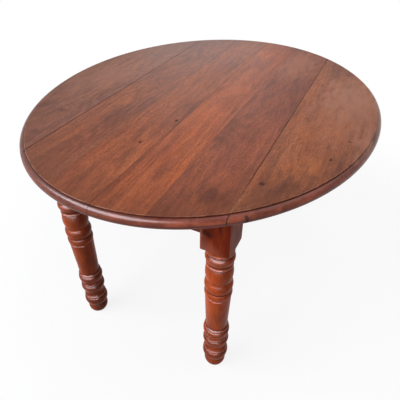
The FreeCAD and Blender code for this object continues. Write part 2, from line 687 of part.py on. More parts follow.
# Hinge screws, one group for each leaf and for each side of the fixed centre
def flap_screws(label, toward):
    body = new_body(label)
    for hinge_y in HINGE_YS.values():
        for across, along in SCREW_SPOTS:
            spot_x = across if toward > 0 else f"-{across}"
            spot_y = f"{hinge_y} + {along}"
            cone(body, "Additive", "screw_head", "sizes.screw_head_radius", "sizes.screw_shank_radius",
                 "sizes.flap_thickness", (spot_x, spot_y, "0"))
            cone(body, "Additive", "screw_shank", "sizes.screw_shank_radius", "sizes.screw_tip_radius",
                 "sizes.screw_length - sizes.flap_thickness", (spot_x, spot_y, "sizes.flap_thickness"))
    return body


fixed_screws = flap_screws("fixed_flap_screw_pattern", -1)
leaf_screws = flap_screws("leaf_flap_screw_pattern", 1)
for side, (joint, degrees) in JOINTS.items():
    spot = (joint, "0", UNDERSIDE)
    pieces.append(like(fixed_screws, f"{side}_fixed_flap_screws", spot, degrees))
    pieces.append(like(leaf_screws, f"{side}_leaf_flap_screws", spot, degrees))

# Check the document, then write one file per piece
doc.recompute()
for thing in doc.Objects:
    if "Invalid" in thing.State or "Error" in thing.State:
        raise RuntimeError(f"{thing.Label} did not build: {thing.State}")
for piece in pieces:
    if piece.Shape.isNull() or not piece.Shape.isValid():
        raise RuntimeError(f"{piece.Label} has no valid solid")
os.makedirs("parts", exist_ok=True)
for piece in pieces:
    piece.Shape.exportStep(f"parts/{piece.Label}.step")
print(len(pieces), "pieces")
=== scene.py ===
import math
import bpy
from mathutils import Matrix, Vector


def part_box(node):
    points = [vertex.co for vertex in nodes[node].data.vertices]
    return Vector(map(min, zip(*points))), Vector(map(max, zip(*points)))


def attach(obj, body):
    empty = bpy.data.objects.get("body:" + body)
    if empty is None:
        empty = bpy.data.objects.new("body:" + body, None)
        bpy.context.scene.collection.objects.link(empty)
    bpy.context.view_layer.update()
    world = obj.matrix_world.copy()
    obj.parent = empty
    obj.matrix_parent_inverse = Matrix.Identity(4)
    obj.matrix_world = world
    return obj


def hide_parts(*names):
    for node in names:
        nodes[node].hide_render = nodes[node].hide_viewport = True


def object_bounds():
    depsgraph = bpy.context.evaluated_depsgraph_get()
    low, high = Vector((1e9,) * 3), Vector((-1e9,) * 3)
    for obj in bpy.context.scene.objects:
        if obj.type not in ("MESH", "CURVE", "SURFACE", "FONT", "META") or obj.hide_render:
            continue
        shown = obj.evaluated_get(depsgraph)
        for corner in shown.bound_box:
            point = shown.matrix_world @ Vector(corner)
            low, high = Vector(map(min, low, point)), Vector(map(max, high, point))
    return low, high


# An oval drop-leaf dining table in polished walnut: a railed frame on turned legs, a fixed centre of
# glued boards, and two leaves that fold down on iron hinges and are held up by pull-out lopers.
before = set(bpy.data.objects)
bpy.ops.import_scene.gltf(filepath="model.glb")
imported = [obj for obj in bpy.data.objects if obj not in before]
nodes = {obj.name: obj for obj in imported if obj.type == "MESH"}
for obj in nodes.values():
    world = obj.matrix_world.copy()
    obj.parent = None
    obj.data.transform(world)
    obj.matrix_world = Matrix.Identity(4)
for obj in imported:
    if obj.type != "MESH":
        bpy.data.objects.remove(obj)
cad_low, cad_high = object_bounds()

# Turned legs
# Each leg is one length of walnut, left square at the top for the tenons and turned on a lathe below,
# then stained red-brown and french-polished. Its grooves are painted dark, partly as old wax and
# partly as painted shade.
LEGS = ("front_right_leg", "back_right_leg", "back_left_leg", "front_left_leg")
BLOCK_HEIGHT = 0.142
BLOCK_EASING = 0.003
NECK = 0.001
LATHE_STEPS = 96
RING_STEP = 0.004
LEVEL_DIGITS = 5
RELIEF_REACH = 0.008
RELIEF_STEPS = 4
RELIEF_FULL = 0.003
MERGE = 1e-6
SMOOTH_WITHIN = math.radians(30)


def pick(piece):
    bpy.ops.object.select_all(action="DESELECT")
    piece.select_set(True)
    bpy.context.view_layer.objects.active = piece


def bench_copy(node):
    """A copy of a sawn or turned piece, its loose faces joined, to be worked on further."""
    piece = bpy.data.objects.new(f"{node}_finished", nodes[node].data.copy())
    bpy.context.scene.collection.objects.link(piece)
    pick(piece)
    bpy.ops.mesh.customdata_custom_splitnormals_clear()
    bpy.ops.object.mode_set(mode="EDIT")
    bpy.ops.mesh.select_all(action="SELECT")
    bpy.ops.mesh.remove_doubles(threshold=MERGE)
    bpy.ops.object.mode_set(mode="OBJECT")
    return piece


def part_off(leg, neck):
    """Saws the turning off below the block, which is kept and left open there."""
    pick(leg)
    bpy.ops.object.mode_set(mode="EDIT")
    bpy.ops.mesh.select_all(action="SELECT")
    bpy.ops.mesh.bisect(plane_co=(0, 0, neck), plane_no=(0, 0, 1), clear_inner=True)
    bpy.ops.object.mode_set(mode="OBJECT")


def turning_profile(leg, axis, neck):
    """Height and radius of each ring of a turning from the floor up, with long runs divided evenly."""
    rings = {}
    for corner in leg.data.vertices:
        if corner.co.z < neck:
            height = round(corner.co.z, LEVEL_DIGITS)
            rings[height] = max(rings.get(height, 0), (corner.co.xy - axis).length)
    rings = sorted(rings.items())
    profile = []
    for (low, low_radius), (high, high_radius) in zip(rings, rings[1:]):
        parts = math.ceil((high - low) / RING_STEP)
        for share in (k / parts for k in range(parts)):
            profile.append((low + (high - low) * share, low_radius + (high_radius - low_radius) * share))
    return profile + [rings[-1]]


def turn_on_lathe(profile, axis):
    """Spins a profile round the leg's axis, closed at the foot and open at the neck."""
    bpy.ops.mesh.primitive_plane_add(size=1, location=(0, 0, 0))
    turning = bpy.context.object
    bpy.ops.object.mode_set(mode="EDIT")
    bpy.ops.mesh.select_all(action="SELECT")
    bpy.ops.mesh.merge(type="CENTER")
    at_height, at_radius = profile[0][0], 0
    bpy.ops.transform.translate(value=(*axis, at_height))
    for height, radius in profile:
        bpy.ops.mesh.extrude_vertices_move(
            TRANSFORM_OT_translate={"value": (radius - at_radius, 0, height - at_height)})
        at_height, at_radius = height, radius
    bpy.ops.mesh.select_all(action="SELECT")
    bpy.ops.mesh.spin(steps=LATHE_STEPS, angle=math.tau, center=(*axis, 0), axis=(0, 0, 1))
    bpy.ops.mesh.select_all(action="SELECT")
    bpy.ops.mesh.remove_doubles(threshold=MERGE)
    bpy.ops.object.mode_set(mode="OBJECT")
    return turning


def join_at_neck(block, turning):
    """Joins a turning to its block and closes the ring that is still open between them."""
    pick(block)
    turning.select_set(True)
    bpy.ops.object.join()
    bpy.ops.object.mode_set(mode="EDIT")
    bpy.ops.mesh.select_all(action="DESELECT")
    bpy.ops.mesh.select_non_manifold()
    bpy.ops.mesh.bridge_edge_loops()
    bpy.ops.mesh.select_all(action="SELECT")
    bpy.ops.mesh.normals_make_consistent(inside=False)
    bpy.ops.object.mode_set(mode="OBJECT")


def radius_at(profile, height):
    """The turning's radius at any height, between the two rings next to it."""
    for (low, low_radius), (high, high_radius) in zip(profile, profile[1:]):
        if height <= high:
            return low_radius + (high_radius - low_radius) * max(0, height - low) / (high - low)
    return profile[-1][1]


def note_relief(turning, profile):
    """How far each ring stands out from what is above and below it: beads 1, grooves -1."""
    found = {}
    for height, radius in profile:
        near = [radius_at(profile, height + RELIEF_REACH * k / RELIEF_STEPS)
                for k in range(-RELIEF_STEPS, RELIEF_STEPS + 1)]
        proud = (radius - sum(near) / len(near)) / RELIEF_FULL
        found[round(height, LEVEL_DIGITS)] = max(-1, min(1, proud))
    relief = turning.data.attributes.new("relief", "FLOAT", "POINT")
    for k, corner in enumerate(turning.data.vertices):
        relief.data[k].value = found.get(round(corner.co.z, LEVEL_DIGITS), 0)


def note_arrises(block, axis):
    """The eased corners of a square block count as beads."""
    half = max(abs(corner.co.x - axis.x) for corner in block.data.vertices)
    relief = block.data.attributes.new("relief", "FLOAT", "POINT")
    for k, corner in enumerate(block.data.vertices):
        off_corner = min(abs(corner.co.x - axis.x), abs(corner.co.y - axis.y))
        relief.data[k].value = int(half - BLOCK_EASING < off_corner < half - MERGE)


def put(tree, kind, values=(), **settings):
    """One node of a finish. A value that is a socket is joined to the input, any other is set on it."""
    node = tree.nodes.new(f"ShaderNode{kind}")
    for name, setting in settings.items():
        setattr(node, name, setting)
    for key, value in values.items() if isinstance(values, dict) else enumerate(values):
        if isinstance(value, bpy.types.NodeSocket):
            tree.links.new(value, node.inputs[key])
        else:
            node.inputs[key].default_value = value
    return node


def reckon(tree, operation, *values):
    return put(tree, "Math", values, operation=operation).outputs[0]


def shift(tree, operation, *values):
    return put(tree, "VectorMath", values, operation=operation).outputs[0]


def mottle(tree, place, stretch, detail=3.0, rough=0.55):
    """Cloudy variation from 0 to 1; stretch gives how often it changes per metre along each axis."""
    stretched = shift(tree, "MULTIPLY", place, stretch)
    return put(tree, "TexNoise", {"Vector": stretched, "Scale": 1.0, "Detail": detail,
                                  "Roughness": rough}).outputs["Fac"]


def fade(tree, value, none, full):
    """0 where the value is at none or beyond, 1 where it is at full or beyond, smooth between."""
    return put(tree, "MapRange", (value, none, full, 0.0, 1.0), interpolation_type="SMOOTHSTEP").outputs[0]


def tint(tree, amount, under, over, how="MIX"):
    return put(tree, "Mix", {0: amount, 6: under, 7: over}, data_type="RGBA", blend_type=how).outputs[2]


def lay(tree, colour, over, mask, share=1.0):
    """Lays one colour over another where the mask shows, up to that share."""
    return tint(tree, reckon(tree, "MULTIPLY", mask, share), colour, (*over, 1))


def tones(tree, value, *stops):
    """Colours run from one stop to the next as the value rises."""
    ramp = put(tree, "ValToRGB", (value,))
    for k, (position, colour) in enumerate(stops):
        element = ramp.color_ramp.elements[k] if k < 2 else ramp.color_ramp.elements.new(position)
        element.position = position
        element.color = (*colour, 1)
    return ramp.outputs[0]


def new_group(name, inputs, outputs):
    """An empty node group, with the sockets that it takes in and puts out."""
    group = bpy.data.node_groups.new(name, "ShaderNodeTree")
    for label, kind in inputs.items():
        group.interface.new_socket(label, in_out="INPUT", socket_type=f"NodeSocket{kind}")
    for label, kind in outputs.items():
        group.interface.new_socket(label, in_out="OUTPUT", socket_type=f"NodeSocket{kind}")
    return group, group.nodes.new("NodeGroupInput").outputs, group.nodes.new("NodeGroupOutput").inputs


def use(tree, group, **values):
    node = tree.nodes.new("ShaderNodeGroup")
    node.node_tree = group
    for label, value in values.items():
        socket = node.inputs[label.replace("_", " ")]
        if isinstance(value, bpy.types.NodeSocket):
            tree.links.new(value, socket)
        else:
            socket.default_value = value
    return node.outputs


def walnut_grain():
    """Grain of a log that lies along y: growth rings round a pith, streaks, swirling figure and pores.
    Run says how many times longer than wide the streaks are."""
    group, given, gives = new_group(
        "walnut grain", {"Place": "Vector", "Pith": "Vector", "Ring Width": "Float", "Run": "Float"},
        {"Rings": "Float", "Streaks": "Float", "Figure": "Float", "Fibre": "Float", "Flecks": "Float",
         "Pores": "Float"})
    place = shift(group, "ADD", given["Place"], given["Pith"])
    sway = put(group, "TexNoise", {"Vector": shift(group, "MULTIPLY", place, (2.6, 1.3, 2.6)),
                                   "Scale": 1.0, "Detail": 2.0}).outputs["Color"]
    swayed = shift(group, "ADD", place, shift(group, "MULTIPLY", shift(
        group, "SUBTRACT", sway, (0.5, 0.5, 0.5)), (0.11, 0.0, 0.11)))
    out = put(group, "SeparateXYZ", (swayed,)).outputs
    from_pith = reckon(group, "SQRT", reckon(group, "ADD", reckon(group, "POWER", out[0], 2.0),
                                             reckon(group, "POWER", out[2], 2.0)))
    year = reckon(group, "FRACT", reckon(group, "DIVIDE", from_pith, given["Ring Width"]))
    late = fade(group, year, 0.25, 0.9)
    group.links.new(reckon(group, "MULTIPLY", late, fade(group, year, 1.0, 0.93)), gives["Rings"])
    drawn_out = put(group, "CombineXYZ", (1.0, reckon(group, "DIVIDE", 1.0, given["Run"]), 1.0)).outputs[0]
    drawn = shift(group, "MULTIPLY", swayed, drawn_out)
    group.links.new(mottle(group, drawn, (24.0, 24.0, 24.0), 4.0, 0.6), gives["Streaks"])
    swirl = mottle(group, drawn, (9.0, 26.0, 9.0), 1.0)
    group.links.new(reckon(group, "MULTIPLY_ADD", reckon(group, "SINE", reckon(
        group, "MULTIPLY", swirl, 95.0)), 0.5, 0.5), gives["Figure"])
    group.links.new(mottle(group, place, (420.0, 22.0, 420.0), 2.0), gives["Fibre"])
    group.links.new(mottle(group, place, (420.0, 130.0, 420.0), 2.0, 0.6), gives["Flecks"])
    group.links.new(fade(group, mottle(group, place, (820.0, 34.0, 820.0), 1.0), 0.60, 0.72), gives["Pores"])
    return group


GRAIN = walnut_grain()


def new_finish(name):
    """A material with its shader, and where a spot lies on the piece."""
    finish = bpy.data.materials.new(name)
    finish.use_nodes = True
    tree = finish.node_tree
    place = tree.nodes.new("ShaderNodeTexCoord").outputs["Object"]
    return finish, tree, place, tree.nodes["Principled BSDF"]


def upright(tree, place):
    """The grain's own place where the grain stands upright instead of lying along y."""
    x, y, z = put(tree, "SeparateXYZ", (place,)).outputs
    return put(tree, "CombineXYZ", (x, z, y)).outputs[0]


def soft_patch():
    """A cloudy mark in the wood, drawn out along the grain: 1 at its centre, 0 beyond its reach."""
    group, given, gives = new_group(
        "soft patch", {"Place": "Vector", "Centre": "Vector", "Reach": "Vector", "Fray": "Float"},
        {"Mask": "Float"})
    fray = put(group, "TexNoise", {"Vector": shift(group, "MULTIPLY", given["Place"], (55.0, 16.0, 55.0)),
                                   "Scale": 1.0, "Detail": 3.0}).outputs["Fac"]
    away = shift(group, "DIVIDE", shift(group, "SUBTRACT", given["Place"], given["Centre"]), given["Reach"])
    distance = put(group, "VectorMath", (away,), operation="LENGTH").outputs["Value"]
    ragged = reckon(group, "MULTIPLY_ADD", reckon(group, "SUBTRACT", fray, 0.5), given["Fray"], distance)
    group.links.new(fade(group, ragged, 1.0, 0.15), gives["Mask"])
    return group


PATCH = soft_patch()
TURNED_POLISH = 0.06
BLOCK_POLISH = 0.015
LEG_PITH = (0.09, 0.0, 0.07)
LEG_RING_WIDTH = 0.0045
GRAIN_RUN = 22.0
LEG_DEEP, LEG_MIDDLE, LEG_LIGHT = (0.215, 0.026, 0.003), (0.390, 0.053, 0.005), (0.520, 0.084, 0.010)
LEG_PORES = (0.05, 0.008, 0.003)
SMOKE_DARK, SMOKE_CLEAR = [0.62] * 3, [1.06] * 3
BLOCK_STAIN = (0.130, 0.011, 0.002)
GROOVE_WAX_AND_SHADE = (0.014, 0.003, 0.003)
RUBBED_BARE_AND_HIGHLIGHT = (0.60, 0.26, 0.20)
FOOT_DARKENING = (0.05, 0.014, 0.008)
DARKER_FROM, DARKER_FULL = 0.25, 0.17
# The left legs are coloured darker than the right, by these shares.
LEG_BRIGHTNESS = {"right": 1.0, "left": 0.64}
LEG_KNOT = (0.030, 0.006, 0.003)
KNOT_PLACE, KNOT_REACH = (0.228, -0.512, 0.634), (0.026, 0.02, 0.014)
LEG_EYE = (0.42, 0.095, 0.02)
EYE_PLACE, EYE_REACH = (0.213, -0.512, 0.625), (0.016, 0.02, 0.010)


def leg_wood(name, brightness):
    """Red-brown walnut with upright grain, coloured darker as the given share falls."""
    finish, tree, place, shader = new_finish(name)
    grain = use(tree, GRAIN, Place=upright(tree, place), Pith=LEG_PITH, Ring_Width=LEG_RING_WIDTH,
                Run=GRAIN_RUN)
    tone = reckon(tree, "MULTIPLY_ADD", grain["Rings"], 0.07, grain["Streaks"])
    shades = ([part * brightness for part in shade] for shade in (LEG_DEEP, LEG_MIDDLE, LEG_LIGHT))
    colour = tones(tree, tone, *zip((0.30, 0.52, 0.78), shades))
    colour = lay(tree, colour, LEG_PORES, grain["Pores"], 0.35)
    return finish, tree, place, shader, grain["Streaks"], colour


def turned_finish(name, brightness):
    """High polish: wax and painted shade in grooves, beads paler as wear and painted highlight, feet darker.
    """
    finish, tree, place, shader, streaks, colour = leg_wood(name, brightness)
    relief = put(tree, "Attribute", attribute_name="relief").outputs["Fac"]
    smoky = mottle(tree, place, (30.0, 30.0, 9.0), 4.0)
    smoke = tones(tree, smoky, (0.3, SMOKE_DARK), (0.62, SMOKE_CLEAR))
    colour = tint(tree, 1.0, colour, smoke, "MULTIPLY")
    height = put(tree, "SeparateXYZ", (place,)).outputs["Z"]
    # Darker towards the feet.
    colour = lay(tree, colour, FOOT_DARKENING, fade(tree, height, DARKER_FROM, DARKER_FULL), 0.24)
    # Dark in the grooves: partly old wax, partly painted shade.
    colour = lay(tree, colour, GROOVE_WAX_AND_SHADE, fade(tree, relief, -0.15, -0.5), 0.9)
    # The beads are painted paler: partly rubbed wear, partly a painted highlight.
    patchy = reckon(tree, "MULTIPLY_ADD", mottle(tree, place, (60.0, 60.0, 60.0)), 1.1, 0.1)
    worn = reckon(tree, "MULTIPLY", fade(tree, relief, 0.12, 0.6), patchy)
    tree.links.new(lay(tree, colour, RUBBED_BARE_AND_HIGHLIGHT, worn, 0.85), shader.inputs["Base Color"])
    tree.links.new(reckon(tree, "MULTIPLY_ADD", streaks, 0.06, 0.31), shader.inputs["Roughness"])
    shader.inputs["Specular IOR Level"].default_value = TURNED_POLISH
    return finish


def block_finish(name, brightness):
    """Duller polish over a smoky stain, with a dark knot beside one peg and rubbed arrises."""
    finish, tree, place, shader, _, colour = leg_wood(name, brightness)
    smoky = mottle(tree, place, (26.0, 26.0, 9.0), 4.0)
    colour = lay(tree, colour, BLOCK_STAIN, fade(tree, smoky, 0.22, 0.62), 0.95)
    eye = use(tree, PATCH, Place=place, Centre=EYE_PLACE, Reach=EYE_REACH, Fray=1.6)["Mask"]
    colour = lay(tree, colour, LEG_EYE, eye, 0.6)
    knot = use(tree, PATCH, Place=place, Centre=KNOT_PLACE, Reach=KNOT_REACH, Fray=1.6)["Mask"]
    colour = lay(tree, colour, LEG_KNOT, knot, 0.85)
    arris = put(tree, "Attribute", attribute_name="relief").outputs["Fac"]
    tree.links.new(lay(tree, colour, RUBBED_BARE_AND_HIGHLIGHT, arris, 0.3), shader.inputs["Base Color"])
    tree.links.new(reckon(tree, "MULTIPLY_ADD", smoky, 0.16, 0.34), shader.inputs["Roughness"])
    shader.inputs["Specular IOR Level"].default_value = BLOCK_POLISH
    return finish


def carve(piece, cutter):
    """Cuts one shape out of a piece and throws the cutter away."""
    pick(piece)
    cut = piece.modifiers.new("cut", "BOOLEAN")
    cut.object = cutter
    cut.solver = "EXACT"
    bpy.ops.object.modifier_apply(modifier=cut.name)
    bpy.data.objects.remove(cutter)


CRACKED_LEG = "front_right_leg"
CRACK_X = 0.2622
CRACK_WIDTH = 0.0040
CRACK_CLOSING_SHARE = 0.25
CRACK_LENGTH = 0.068
CRACK_DEPTH = 0.010


def season_crack(leg, face, top):
    """A drying crack in the front of a block: widest at the top, closing downwards."""
    bpy.ops.mesh.primitive_cube_add(size=1, location=(CRACK_X, face, top - CRACK_LENGTH / 2))
    wedge = bpy.context.object
    wedge.scale = (CRACK_WIDTH, 2 * CRACK_DEPTH, CRACK_LENGTH)
    bpy.ops.object.transform_apply(location=False, scale=True)
    for corner in wedge.data.vertices:
        if corner.co.z < 0:
            corner.co.x *= CRACK_CLOSING_SHARE
    carve(leg, wedge)


def finish_piece(piece, body, node, slot, *finishes):
    """Polishes a worked piece and puts it where the plain one was."""
    piece.data.materials.clear()
    for finish in finishes:
        piece.data.materials.append(finish)
    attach(piece, body)
    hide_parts(node)


LEG_FINISHES = {
    side: (turned_finish(f"{side}_leg_turning", brightness), block_finish(f"{side}_leg_block", brightness))
    for side, brightness in LEG_BRIGHTNESS.items()}
for node in LEGS:
    leg = bench_copy(node)
    low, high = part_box(node)
    axis = ((low + high) / 2).xy
    neck = high.z - BLOCK_HEIGHT - NECK
    profile = turning_profile(leg, axis, neck)
    if node == CRACKED_LEG:
        season_crack(leg, low.y, high.z)
    part_off(leg, neck)
    note_arrises(leg, axis)
    turning = turn_on_lathe(profile, axis)
    note_relief(turning, profile)
    join_at_neck(leg, turning)
    bpy.ops.object.shade_smooth_by_angle(angle=SMOOTH_WITHIN)
    finish_piece(leg, "frame", node, "polished_leg", *LEG_FINISHES[node.split("_")[1]])
    for face in leg.data.polygons:
        face.material_index = int(face.center.z > neck + NECK)

# Rails and tenon pegs
# Walnut rails, planed and tenoned into the leg blocks. The outer faces are stained and polished like
# the legs, the inner faces left as planed. Round oak pegs lock each tenon, their ends darkened.
POLISHED_DEPTH = 0.003
WOOD_POLISH = 0.08
RAIL_PITH = (0.05, 0.4, -0.55)
RAIL_RING_WIDTH = 0.007
RAIL_DEEP, RAIL_LIGHT = (0.085, 0.013, 0.003), (0.265, 0.045, 0.011)
PLANED_PALE, PLANED_DARK = (0.28, 0.165, 0.09), (0.13, 0.07, 0.036)
BARE_PORES = (0.05, 0.025, 0.012)
PEG_DARK, PEG_BROWN, PEG_SPECKS = (0.040, 0.008, 0.003), (0.115, 0.018, 0.005), (0.012, 0.004, 0.002)


def rough_up(tree, shader, height, strength, distance):
    bump = put(tree, "Bump", {"Strength": strength, "Distance": distance, "Height": height})
    tree.links.new(bump.outputs[0], shader.inputs["Normal"])


def bare_wood(tree, grain, pale, dark):
    """Planed wood that was never polished: dry, greyed by age, with open pores."""
    streaks = reckon(tree, "MULTIPLY", grain["Streaks"], 0.75)
    tone = reckon(tree, "MULTIPLY_ADD", grain["Rings"], 0.3, streaks)
    colour = tones(tree, tone, (0.25, dark), (0.75, pale))
    fibre = tint(tree, 0.35, colour, tones(tree, grain["Fibre"], (0.3, dark), (0.7, pale)))
    return lay(tree, fibre, BARE_PORES, grain["Pores"], 0.5)


def lengthways(tree, place):
    """The grain's own place where the grain runs along x."""
    x, y, z = put(tree, "SeparateXYZ", (place,)).outputs
    return put(tree, "CombineXYZ", (y, x, z)).outputs[0]


def rail_finish(name, axis, outer):
    """Polished where the rail faces out along that axis, planed and bare inside."""
    finish, tree, place, shader = new_finish(name)
    run = lengthways(tree, place) if axis == 1 else place
    grain = use(tree, GRAIN, Place=run, Pith=RAIL_PITH, Ring_Width=RAIL_RING_WIDTH, Run=GRAIN_RUN)
    streaks = reckon(tree, "MULTIPLY", grain["Streaks"], 0.95)
    tone = reckon(tree, "MULTIPLY_ADD", grain["Rings"], 0.08, streaks)
    polished = tones(tree, tone, (0.25, RAIL_DEEP), (0.75, RAIL_LIGHT))
    planed = bare_wood(tree, grain, PLANED_PALE, PLANED_DARK)
    away = reckon(tree, "ABSOLUTE", put(tree, "SeparateXYZ", (place,)).outputs[axis])
    shows = fade(tree, away, outer - POLISHED_DEPTH, outer - POLISHED_DEPTH / 2)
    tree.links.new(tint(tree, shows, planed, polished), shader.inputs["Base Color"])
    tree.links.new(reckon(tree, "MULTIPLY_ADD", shows, -0.45, 0.75), shader.inputs["Roughness"])
    shader.inputs["Specular IOR Level"].default_value = WOOD_POLISH
    rough_up(tree, shader, grain["Fibre"], 0.15, 0.001)
    return finish


def dress(finish, *names):
    """A finish for pieces whose sawn shape stays as it is."""
    for name in names:
        for slot in nodes[name].material_slots:
            slot.material = finish


END_RAILS = ("front_end_rail", "back_end_rail")
SIDE_RAILS = ("right_side_rail", "left_side_rail")
dress(rail_finish("end_rail_walnut", 1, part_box(END_RAILS[1])[1].y), *END_RAILS)
dress(rail_finish("side_rail_walnut", 0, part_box(SIDE_RAILS[0])[1].x), *SIDE_RAILS)


def peg_finish():
    """End grain that drank in the stain and went almost black."""
    finish, tree, place, shader = new_finish("darkened_end_grain")
    specks = mottle(tree, place, (900.0, 900.0, 900.0), 2.0)
    cloud = mottle(tree, place, (70.0, 70.0, 70.0))
    colour = tones(tree, cloud, (0.3, PEG_DARK), (0.7, PEG_BROWN))
    colour = lay(tree, colour, PEG_SPECKS, fade(tree, specks, 0.5, 0.7))
    tree.links.new(colour, shader.inputs["Base Color"])
    tree.links.new(reckon(tree, "MULTIPLY_ADD", specks, 0.2, 0.2), shader.inputs["Roughness"])
    shader.inputs["Specular IOR Level"].default_value = BLOCK_POLISH
    rough_up(tree, shader, specks, 0.3, 0.0006)
    return finish


dress(peg_finish(), "tenon_pegs")

# Lopers, guide rail and glue blocks
# Plain oak that nobody sees with the leaves up: bars that slide out to carry the leaves, the rail
# that they run through, and three-cornered blocks rubbed in with glue. All of it is bare and dusty.
LOPERS = tuple(f"{side}_{end}_loper" for side in ("right", "left") for end in ("front", "back"))
OAK_RING_WIDTH = 0.005
OAK_PALE, OAK_DARK = (0.44, 0.29, 0.155), (0.22, 0.125, 0.060)
DUST = (0.12, 0.085, 0.055)


def oak_finish(name, turned, pith):
    """Sawn oak, bare and dusty, its grain turned to run along the piece."""
    finish, tree, place, shader = new_finish(name)
    run = turned(tree, place) if turned else place
    grain = use(tree, GRAIN, Place=run, Pith=pith, Ring_Width=OAK_RING_WIDTH, Run=GRAIN_RUN)
    colour = bare_wood(tree, grain, OAK_PALE, OAK_DARK)
    dust = mottle(tree, place, (9.0, 9.0, 9.0))
    colour = lay(tree, colour, DUST, fade(tree, dust, 0.45, 0.75), 0.35)
    tree.links.new(colour, shader.inputs["Base Color"])
    tree.links.new(reckon(tree, "MULTIPLY_ADD", dust, 0.2, 0.62), shader.inputs["Roughness"])
    shader.inputs["Specular IOR Level"].default_value = WOOD_POLISH
    saw_marks = mottle(tree, place, (260.0, 260.0, 40.0), 2.0)
    rough_up(tree, shader, reckon(tree, "ADD", saw_marks, grain["Pores"]), 0.25, 0.001)
    return finish


dress(oak_finish("loper_oak", lengthways, (0.21, 0.3, -0.60)), *LOPERS)
dress(oak_finish("loper_stop_oak", upright, (0.3, 0.1, 0.2)), *(f"{loper}_stop" for loper in LOPERS))
dress(oak_finish("guide_rail_oak", None, (0.07, 0.2, -0.58)), "loper_guide_rail")
dress(oak_finish("glue_block_oak", lengthways, (0.4, 0.7, -0.62)), "glue_blocks")

# Oval top
# Wide walnut boards, glued up, sawn to an oval and run round with a thumbnail moulding below a narrow
# quirk; then parted along two straight joints into the fixed centre and the drop leaves.
LEAVES = {"left_leaf": "left_leaf_swing", "right_leaf": "right_leaf_swing"}
CENTRE = ("left_outer_board", "left_inner_board", "right_inner_board", "right_outer_board")
HALF_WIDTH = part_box("right_leaf")[1].x
HALF_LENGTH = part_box("left_inner_board")[1].y
UNDERSIDE, TOP = (corner.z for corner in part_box("left_inner_board"))
JOINT_X = (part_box("right_outer_board")[1].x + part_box("right_leaf")[0].x) / 2
MOULDING_WIDTH = 0.015
QUIRK_DEPTH = 0.0035
NOSE_DROP = 0.017
UNDER_INSET = 0.008
ARRIS = 0.0009
ARRIS_RINGS = ((0, 1), (0.29, 0.29), (1, 0))
OVAL_STEPS = 720
UPPER_STEPS = 10
LOWER_STEPS = 7


def moulding_rings():
    """How far in from the nose, and how far below the top, each ring of the edge lies, from below up."""
    under = TOP - UNDERSIDE - NOSE_DROP
    lower_round = (UNDER_INSET ** 2 + under ** 2) / (2 * UNDER_INSET)
    lower_angle = math.atan2(under, lower_round - UNDER_INSET)
    upper = NOSE_DROP - QUIRK_DEPTH
    upper_round = (MOULDING_WIDTH ** 2 + upper ** 2) / (2 * MOULDING_WIDTH)
    upper_angle = math.atan2(upper, upper_round - MOULDING_WIDTH)
    rings = []
    for k in range(LOWER_STEPS):
        angle = lower_angle * (1 - k / LOWER_STEPS)
        rings.append((lower_round * (1 - math.cos(angle)), NOSE_DROP + lower_round * math.sin(angle)))
    for k in range(UPPER_STEPS + 1):
        angle = upper_angle * k / UPPER_STEPS
        rings.append((upper_round * (1 - math.cos(angle)), NOSE_DROP - upper_round * math.sin(angle)))
    return rings + [(MOULDING_WIDTH + ARRIS * across, ARRIS * down) for across, down in ARRIS_RINGS]


def oval_slab():
    """The whole oval, drawn up ring by ring from the underside to the top."""
    rings = moulding_rings()
    inset, drop = rings[0]
    bpy.ops.object.select_all(action="DESELECT")
    bpy.ops.mesh.primitive_circle_add(vertices=OVAL_STEPS, radius=1, fill_type="NGON", location=(0, 0, 0))
    slab = bpy.context.object
    bpy.ops.object.mode_set(mode="EDIT")
    bpy.ops.mesh.select_all(action="SELECT")
    bpy.ops.transform.resize(value=(HALF_WIDTH - inset, HALF_LENGTH - inset, 1))
    bpy.ops.transform.translate(value=(0, 0, TOP - drop))
    for inset_up, drop_up in rings[1:]:
        bpy.ops.mesh.extrude_region_move(TRANSFORM_OT_translate={"value": (0, 0, drop - drop_up)})
        bpy.ops.transform.resize(value=((HALF_WIDTH - inset_up) / (HALF_WIDTH - inset),
                                        (HALF_LENGTH - inset_up) / (HALF_LENGTH - inset), 1))
        inset, drop = inset_up, drop_up
    bpy.ops.mesh.select_all(action="SELECT")
    bpy.ops.mesh.normals_make_consistent(inside=False)
    bpy.ops.object.mode_set(mode="OBJECT")
    return slab


def saw(board, line, keep_above, easing):
    """Saws along a straight line, keeps one side, and eases the arrises of the cut."""
    bpy.ops.object.mode_set(mode="EDIT")
    bpy.ops.mesh.select_all(action="SELECT")
    bpy.ops.mesh.bisect(plane_co=(line, 0, 0), plane_no=(1, 0, 0), use_fill=True,
                        clear_inner=keep_above, clear_outer=not keep_above)
    bpy.ops.mesh.bevel(offset=easing, segments=2, affect="EDGES")
    bpy.ops.object.mode_set(mode="OBJECT")


SEAT_ROOM = 0.0003


def hinge_seats(board, flaps):
    """Lets the hinge flaps into the underside."""
    for flap in flaps:
        low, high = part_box(flap)
        size = high - low
        bpy.ops.mesh.primitive_cube_add(size=1, location=(low + high) / 2)
        seat = bpy.context.object
        seat.scale = size + Vector((SEAT_ROOM, SEAT_ROOM, SEAT_ROOM)) * 2
        bpy.ops.object.transform_apply(scale=True)
        carve(board, seat)


DENT_PLACE = Vector((0.325, -0.5282, 0.736))
DENT_TILT = math.radians(36)
DENT_ROUND = 0.006
DENT_DEPTH = 0.0012


def dent_edge(board):
    """A knock in the moulding, just beside the joint."""
    level = Vector((DENT_PLACE.x / HALF_WIDTH ** 2, DENT_PLACE.y / HALF_LENGTH ** 2, 0)).normalized()
    outward = level * math.cos(DENT_TILT) + Vector((0, 0, math.sin(DENT_TILT)))
    bpy.ops.mesh.primitive_ico_sphere_add(subdivisions=3, radius=DENT_ROUND,
                                          location=DENT_PLACE + outward * (DENT_ROUND - DENT_DEPTH))
    carve(board, bpy.context.object)


